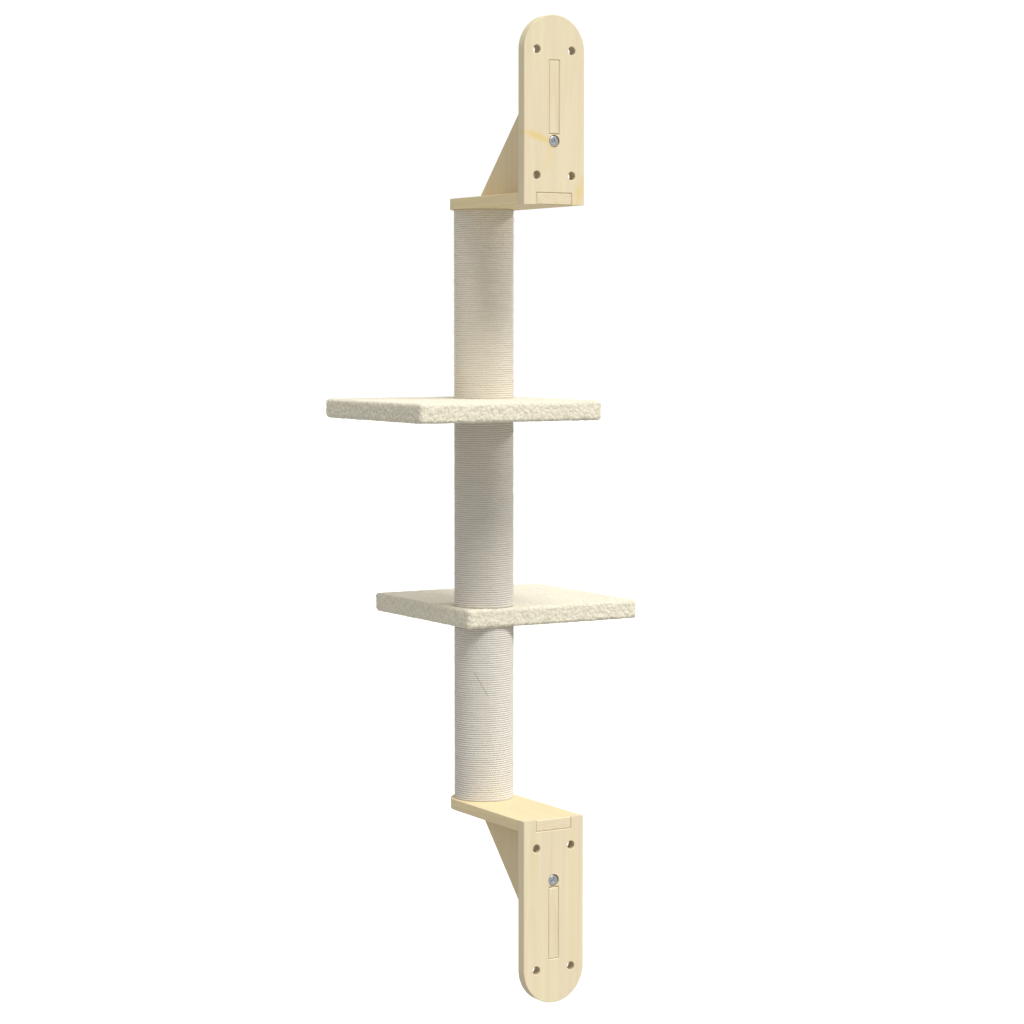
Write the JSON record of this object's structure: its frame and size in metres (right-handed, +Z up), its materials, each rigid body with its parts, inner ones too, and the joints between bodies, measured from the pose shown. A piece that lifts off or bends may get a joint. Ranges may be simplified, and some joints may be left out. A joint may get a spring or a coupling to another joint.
{
  "type": "wall mounted cat tree",
  "caption": "Wall mounted cat tree: cord-wrapped posts and two square plush platforms clamped in one column between two pine wall brackets.",
  "frame": {"origin": "centre of the upper wall plate's four screw holes, on the wall face", "axes": "+Z up along the posts, +Y into the wall, X along the wall"},
  "size_m": [0.417, 0.411, 1.2999],
  "materials": {
    "pine": "matte",
    "zinc_screw": "satin",
    "zinc_bolt": "satin",
    "beech_dowel": "matte",
    "plug_wood": "matte",
    "cardboard": "matte",
    "cord": "matte",
    "platform_board": "matte",
    "plush": "matte"
  },
  "bodies": {
    "root": {"bottom_post_cord_turns": "cord", "bottom_post_core_tube": "cardboard", "bottom_post_inserts": "zinc_bolt", "bottom_post_lower_plug": "plug_wood", "bottom_post_upper_plug": "plug_wood", "bottom_post_winding": "cord", "lower_arm": "pine", "lower_arm_bolt": "zinc_bolt", "lower_gusset": "pine", "lower_gusset_dowels": "beech_dowel", "lower_gusset_screw": "zinc_screw", "lower_platform_base_panel": "plush", "lower_platform_board": "platform_board", "lower_platform_plush_cover": "plush", "lower_platform_stud": "zinc_bolt", "lower_wall_plate": "pine", "middle_post_cord_turns": "cord", "middle_post_core_tube": "cardboard", "middle_post_inserts": "zinc_bolt", "middle_post_lower_plug": "plug_wood", "middle_post_upper_plug": "plug_wood", "middle_post_winding": "cord", "top_post_cord_turns": "cord", "top_post_core_tube": "cardboard", "top_post_inserts": "zinc_bolt", "top_post_lower_plug": "plug_wood", "top_post_upper_plug": "plug_wood", "top_post_winding": "cord", "upper_arm": "pine", "upper_arm_bolt": "zinc_bolt", "upper_gusset": "pine", "upper_gusset_dowels": "beech_dowel", "upper_gusset_screw": "zinc_screw", "upper_platform_base_panel": "plush", "upper_platform_board": "platform_board", "upper_platform_plush_cover": "plush", "upper_platform_stud": "zinc_bolt", "upper_wall_plate": "pine"}
  },
  "joints": []
}
